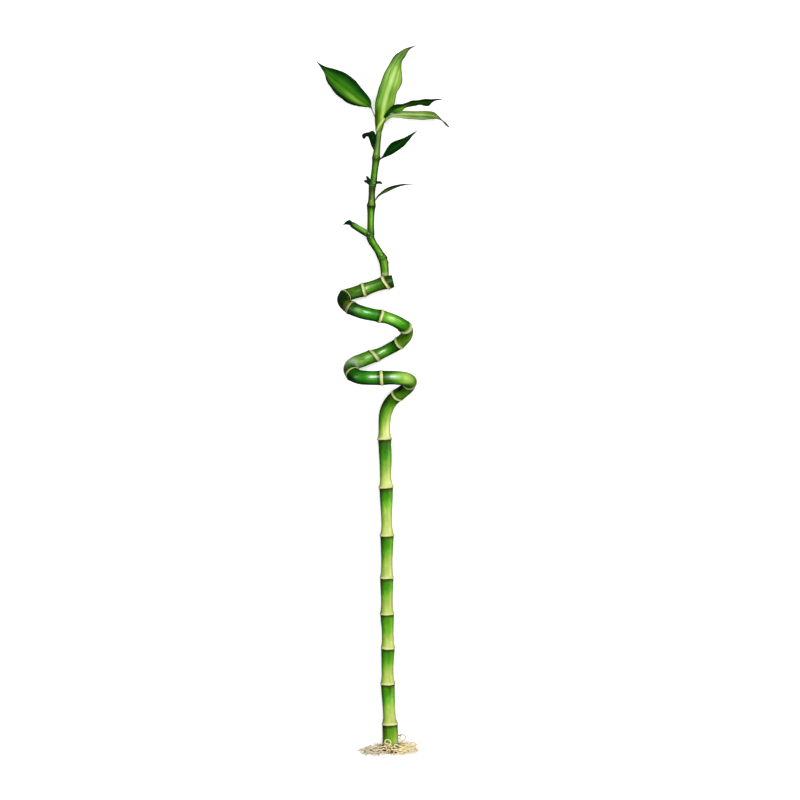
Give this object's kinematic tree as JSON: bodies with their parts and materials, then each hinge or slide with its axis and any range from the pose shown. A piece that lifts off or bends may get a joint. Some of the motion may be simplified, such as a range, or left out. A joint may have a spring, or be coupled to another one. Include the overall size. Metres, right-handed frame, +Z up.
{
  "type": "lucky bamboo",
  "caption": "Bare-rooted lucky bamboo laid on its back: straight ringed green cane winding into a spiral at the top, with a leafy side shoot and curled roots at the foot.",
  "frame": {"origin": "under the middle of the plant, on the surface it lies on", "axes": "+Y from the roots to the leaf tips along the cane, +Z up from the surface, +X across, to the right in the picture"},
  "size_m": [0.1232, 0.6515, 0.0593],
  "materials": {
    "cane_skin": "smooth waxy green skin, dark below each node and pale cream-yellow above it, satin to glossy",
    "shoot_skin": "young green stem skin, satin, with pale collars and dark rings at its nodes",
    "dark_leaf": "thick waxy dark green leaf, lighter along the middle, satin",
    "pale_leaf": "thick waxy leaf striped pale and mid green, darker at its edges, satin",
    "thin_leaf": "narrow grey-green leaf, satin",
    "dried_leaf": "shrivelled near-black green leaf and bud tissue, matte",
    "root_fibre": "damp cream to tan root skin, matte, browner where it leaves the foot"
  },
  "bodies": {
    "root": {"cane": "cane_skin", "left_bud": "dried_leaf", "left_leaf": "dark_leaf", "low_thin_leaf": "thin_leaf", "mid_right_leaf": "dark_leaf", "right_bud": "dried_leaf", "right_lower_leaf": "pale_leaf", "right_upper_leaf": "dark_leaf", "root_01": "root_fibre", "root_02": "root_fibre", "root_03": "root_fibre", "root_04": "root_fibre", "root_05": "root_fibre", "root_06": "root_fibre", "root_07": "root_fibre", "root_08": "root_fibre", "root_09": "root_fibre", "root_10": "root_fibre", "root_11": "root_fibre", "root_12": "root_fibre", "root_13": "root_fibre", "root_14": "root_fibre", "root_15": "root_fibre", "root_16": "root_fibre", "root_17": "root_fibre", "root_18": "root_fibre", "root_19": "root_fibre", "root_20": "root_fibre", "root_21": "root_fibre", "root_22": "root_fibre", "root_23": "root_fibre", "root_24": "root_fibre", "root_25": "root_fibre", "root_26": "root_fibre", "root_27": "root_fibre", "root_28": "root_fibre", "root_29": "root_fibre", "root_30": "root_fibre", "root_31": "root_fibre", "root_32": "root_fibre", "root_33": "root_fibre", "root_34": "root_fibre", "root_35": "root_fibre", "root_36": "root_fibre", "shoot_stem": "shoot_skin", "side_stub": "shoot_skin", "side_stub_leaf": "dried_leaf", "top_leaf": "pale_leaf", "withered_bract": "dried_leaf"}
  },
  "joints": []
}
